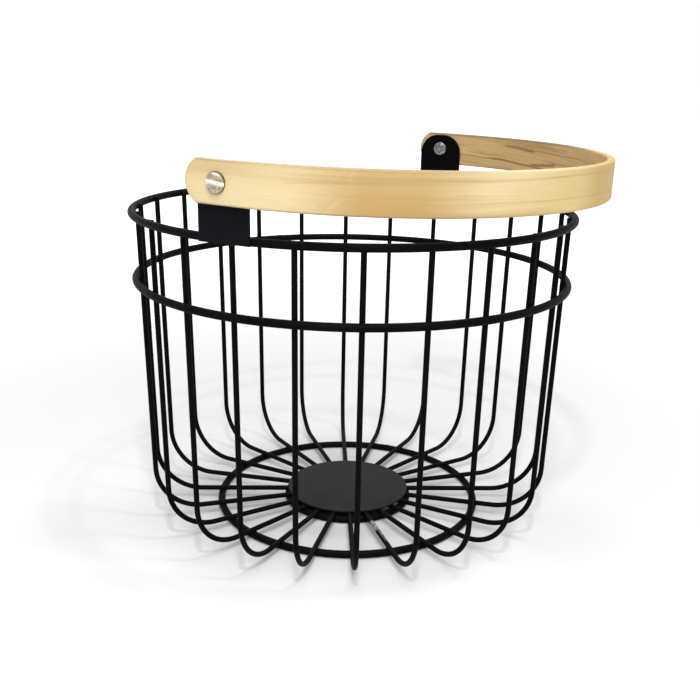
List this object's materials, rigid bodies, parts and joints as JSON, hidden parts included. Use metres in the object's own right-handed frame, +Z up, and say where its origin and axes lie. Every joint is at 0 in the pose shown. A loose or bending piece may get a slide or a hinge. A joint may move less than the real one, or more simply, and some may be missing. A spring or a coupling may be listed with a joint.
{
  "type": "egg collection basket",
  "caption": "Round wire basket of bent ribs welded to rings, with a flat centre disc and a bentwood handle that swings on screws through two rim tabs.",
  "frame": {"origin": "on the ground at the basket's axis, the centre of the foot ring's contact circle", "axes": "+Z up along the basket's axis, Y along the handle's pivots, the folded handle's bend towards +X"},
  "size_m": [0.2665, 0.2658, 0.2156],
  "materials": {
    "black_wire": "matte black powder coat",
    "black_disc": "matte black powder coat on sheet",
    "black_tab": "matte black powder coat on sheet",
    "blonde_wood": "clear satin lacquer on pale wood",
    "nickel": "turned nickel plate"
  },
  "bodies": {
    "basket": {"rim_ring": "black_wire", "belly_ring": "black_wire", "foot_ring": "black_wire", "hub_ring": "black_wire", "centre_disc": "black_disc", "rib_01": "black_wire", "rib_02": "black_wire", "rib_03": "black_wire", "rib_04": "black_wire", "rib_05": "black_wire", "rib_06": "black_wire", "rib_07": "black_wire", "rib_08": "black_wire", "rib_09": "black_wire", "rib_10": "black_wire", "rib_11": "black_wire", "rib_12": "black_wire", "rib_13": "black_wire", "rib_14": "black_wire", "rib_15": "black_wire", "rib_16": "black_wire", "rib_17": "black_wire", "rib_18": "black_wire", "rib_19": "black_wire", "rib_20": "black_wire", "rib_21": "black_wire", "rib_22": "black_wire", "rib_23": "black_wire", "rib_24": "black_wire", "tab_front": "black_tab", "tab_rear": "black_tab", "barrel_front": "nickel", "barrel_rear": "nickel", "screw_front": "nickel", "screw_rear": "nickel"},
    "handle": {"bentwood_handle": "blonde_wood"}
  },
  "joints": [
    {"name": "handle_swing", "type": "hinge", "parent": "basket", "child": "handle", "pos_m": [0, 0, 0.2053], "axis": [0, -1, 0], "range_deg": [-21, 203]}
  ]
}
